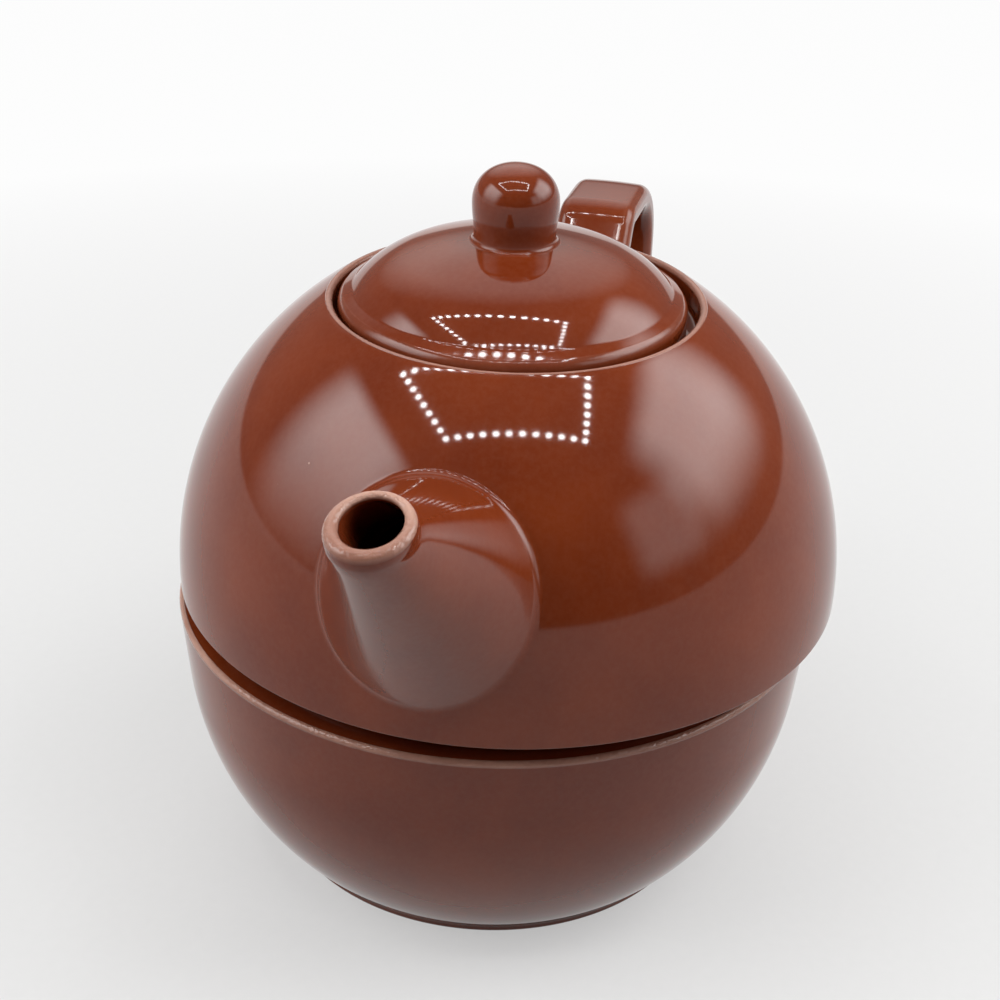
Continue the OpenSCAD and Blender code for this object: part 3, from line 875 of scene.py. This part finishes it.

# %% [markdown]
# ## Floor, room and lamps
# A glossy pot is mostly a picture of the room round it. Two large soft lamps at the sides give the broad
# pale patches on its shoulders, a dim one stands for a pale wall, and a frame of small lamps overhead
# gives the dotted rectangle. The floor is white: part of it shines by itself for the camera and in
# reflections, and the rest takes light and shadow as paper does. Close to the object the part that shines
# is smaller and grows outwards. So the real shadow shows more there, and a painted shade also darkens the
# floor in a ring round the object, both for the camera and in the glaze's reflections.

# %% Floor
FLOOR_R = 4.0
floor_bm = bmesh.new()
bmesh.ops.create_circle(floor_bm, cap_ends=True, segments=96, radius=FLOOR_R)
floor_mesh = bpy.data.meshes.new("studio_floor")
floor_bm.to_mesh(floor_mesh)
floor_bm.free()
floor = bpy.data.objects.new("studio_floor", floor_mesh)
bpy.context.collection.objects.link(floor)
print("Floor is", round(2 * FLOOR_R, 1), "m across")

# %% Paper on the floor
# Near the object the floor's own glow is weaker: a painted shade round the object, also seen in reflections.
SHINE_NEAR, SHINE_FAR = 0.45, 0.97
NEAR_R, FAR_R = 0.08, 0.45
PAPER_DARK = (0.45, 0.45, 0.447, 1)
PAPER_PALE = (0.49, 0.49, 0.487, 1)
PAPER_ROUGH = 0.9
FIBRES_PER_M = 400.0
paper = bpy.data.materials.new("white_paper")
paper.use_nodes = True
paper_shader = paper.node_tree.nodes["Principled BSDF"]
paper_shader.inputs["Roughness"].default_value = PAPER_ROUGH
floor_place = add_node(paper, "ShaderNodeTexCoord", {}).outputs["Object"]
fibre = add_node(paper, "ShaderNodeTexNoise", {"Vector": floor_place, "Scale": FIBRES_PER_M, "Detail": 3.0})
paper_colour = mix_colour(paper, fibre.outputs["Fac"], PAPER_DARK, PAPER_PALE)
paper.node_tree.links.new(paper_colour, paper_shader.inputs["Base Color"])
ray = add_node(paper, "ShaderNodeLightPath", {}).outputs
seen = calculate(paper, "MAXIMUM", ray["Is Camera Ray"], ray["Is Glossy Ray"])
seen = calculate(paper, "MAXIMUM", seen, ray["Is Transmission Ray"])
away = add_node(paper, "ShaderNodeVectorMath", {0: floor_place}, operation="LENGTH").outputs["Value"]
# The glow's share grows with distance from the object, so the floor is painted darker close to it.
glow_with_painted_shade_near = spread(paper, away, NEAR_R, FAR_R, SHINE_NEAR, SHINE_FAR)
shine = calculate(paper, "MULTIPLY", seen, glow_with_painted_shade_near)
glow = add_node(paper, "ShaderNodeEmission", {"Color": (1, 1, 1, 1), "Strength": 1.0}).outputs[0]
blend = add_node(paper, "ShaderNodeMixShader", {0: shine, 1: paper_shader.outputs[0], 2: glow}).outputs[0]
paper.node_tree.links.new(blend, paper.node_tree.nodes["Material Output"].inputs["Surface"])
floor_mesh.materials.append(paper)
print("Paper shines by", SHINE_NEAR, "near the object and", SHINE_FAR, "far away")

# %% Lamps
LAMP_AIM = Vector((0, 0, 70)) * MM


def add_lamp(name, spot, aim, shape, width, length, brightness):
    """Adds an area lamp that faces a point. Brightness is that of its face, where 1 is white."""
    data = bpy.data.lights.new(name, "AREA")
    data.shape = shape
    data.size, data.size_y = width, length
    face = width * length * (math.pi / 4 if shape in ("DISK", "ELLIPSE") else 1)
    data.energy = brightness * math.pi * face
    lamp = bpy.data.objects.new(name, data)
    lamp.location = spot
    lamp.rotation_euler = (aim - spot).to_track_quat("-Z", "Y").to_euler()
    lamp.visible_camera = False
    bpy.context.collection.objects.link(lamp)
    return lamp


def round_object(azimuth, elevation, distance):
    """A place round the object, by its angles from +X and over level."""
    a, e = math.radians(azimuth), math.radians(elevation)
    return LAMP_AIM + Vector((math.cos(e) * math.cos(a), math.cos(e) * math.sin(a), math.sin(e))) * distance


def fade_edge(lamp, brightest, full):
    """Lets a lamp's face fade from its brightest place to its sides, as cloth in front of a lamp does."""
    lamp.data.use_nodes = True
    on_face = add_node(lamp.data, "ShaderNodeNewGeometry", {}).outputs["Parametric"]
    both_ways = add_node(lamp.data, "ShaderNodeSeparateXYZ", {"Vector": on_face}).outputs
    fades = []
    for way, peak, full_at in zip("XY", brightest, full):
        rising = spread(lamp.data, both_ways[way], 0.0, peak)
        falling = spread(lamp.data, both_ways[way], peak, 1.0, 1.0, 0.0)
        tent = calculate(lamp.data, "MULTIPLY", rising, falling)
        fades.append(add_node(lamp.data, "ShaderNodeMapRange", {0: tent, 1: 0.0, 2: full_at, 3: 0.0, 4: 1.0},
                              interpolation_type="SMOOTHSTEP").outputs[0])
    fade = calculate(lamp.data, "MULTIPLY", *fades)
    lamp.data.node_tree.links.new(fade, lamp.data.node_tree.nodes["Emission"].inputs["Strength"])


print("Lamps face a point", round(LAMP_AIM.z / MM), "mm over the floor")

# %% Soft lamps
# Each has its place (azimuth, elevation, distance), size and brightness, then where on its face it is
# brightest, and at which share of the way there from its edges it is full.
SOFT_LAMPS = (
    ("soft_lamp_right", (111, 34.5, 0.56), (0.67, 0.50), 6.6, (0.46, 0.68), (0.7, 0.7)),
    ("soft_lamp_left", (-63, 25.5, 0.55), (0.65, 0.54), 7.0, (0.50, 0.88), (0.7, 1.0)),
    ("pale_wall", (72, 25, 0.70), (0.42, 0.38), 1.9, (0.50, 0.50), (0.6, 0.6)))
for name, stand, size, brightness, brightest, full in SOFT_LAMPS:
    fade_edge(add_lamp(name, round_object(*stand), LAMP_AIM, "RECTANGLE", *size, brightness), brightest, full)
print("Soft lamps:", len(SOFT_LAMPS))

# %% Frame of small lamps
LED_H = 0.45
LED_W = 0.014
LED_BRIGHT = 56.0
LED_PLAN = ((0.039, -0.217), (-0.018, 0.141), (0.132, 0.205), (0.217, -0.098))
LED_COUNTS = (13, 7, 11, 8)
led_corners = [Vector((x, y, LED_H)) for x, y in LED_PLAN]
led_spots = []
for corner, following, count in zip(led_corners, led_corners[1:] + led_corners[:1], LED_COUNTS):
    led_spots += [corner.lerp(following, i / count) for i in range(count)]
for number, spot in enumerate(led_spots):
    add_lamp(f"small_lamp_{number}", spot, spot - Vector((0, 0, 1)), "DISK", LED_W, LED_W, LED_BRIGHT)
print("Small lamps:", len(led_spots))

# %% [markdown]
# The room itself is the world: dim all round, darker on the side from which the object is looked at, and
# pale high up behind it, where a wall and a ceiling send light down. Each of these is a broad spot on the
# sky, found by how nearly a direction points the same way as the spot's middle. A narrow white band just
# over the floor's far edge runs all round, so that the floor has no dark end when it is looked at from
# low down.

# %% World
ROOM_GREY = 0.25
ROOM_DARK = 0.06
ROOM_PALE = 1.2
ROOM_TINT = (1.0, 0.98, 0.96, 1)
DARK_WAY, DARK_FROM, DARK_FULL = Vector((0.92, 0.30, 0.25)).normalized(), 0.55, 0.90
PALE_WAY, PALE_FROM, PALE_FULL = Vector((-0.70, -0.25, 0.66)).normalized(), 0.84, 0.97
BAND_TOP, BAND_END = 0.05, 0.075
world = bpy.data.worlds.new("dim_room")
world.use_nodes = True
bpy.context.scene.world = world
looking = add_node(world, "ShaderNodeTexCoord", {}).outputs["Generated"]
to_dark, to_pale = (add_node(world, "ShaderNodeVectorMath", {0: looking, 1: way},
                             operation="DOT_PRODUCT").outputs["Value"] for way in (DARK_WAY, PALE_WAY))
dim_light = spread(world, to_dark, DARK_FROM, DARK_FULL, ROOM_GREY, ROOM_DARK)
pale_light = spread(world, to_pale, PALE_FROM, PALE_FULL, 0.0, ROOM_PALE)
over_level = add_node(world, "ShaderNodeSeparateXYZ", {"Vector": looking}).outputs["Z"]
white_band = spread(world, over_level, BAND_TOP, BAND_END, 1.0, 0.0)
room_light = calculate(world, "MAXIMUM", calculate(world, "ADD", dim_light, pale_light), white_band)
background = world.node_tree.nodes["Background"]
background.inputs["Color"].default_value = ROOM_TINT
world.node_tree.links.new(room_light, background.inputs["Strength"])
bpy.context.scene.view_settings.view_transform = "Standard"
print("Room is lit from", ROOM_DARK, "to", ROOM_GREY + ROOM_PALE)
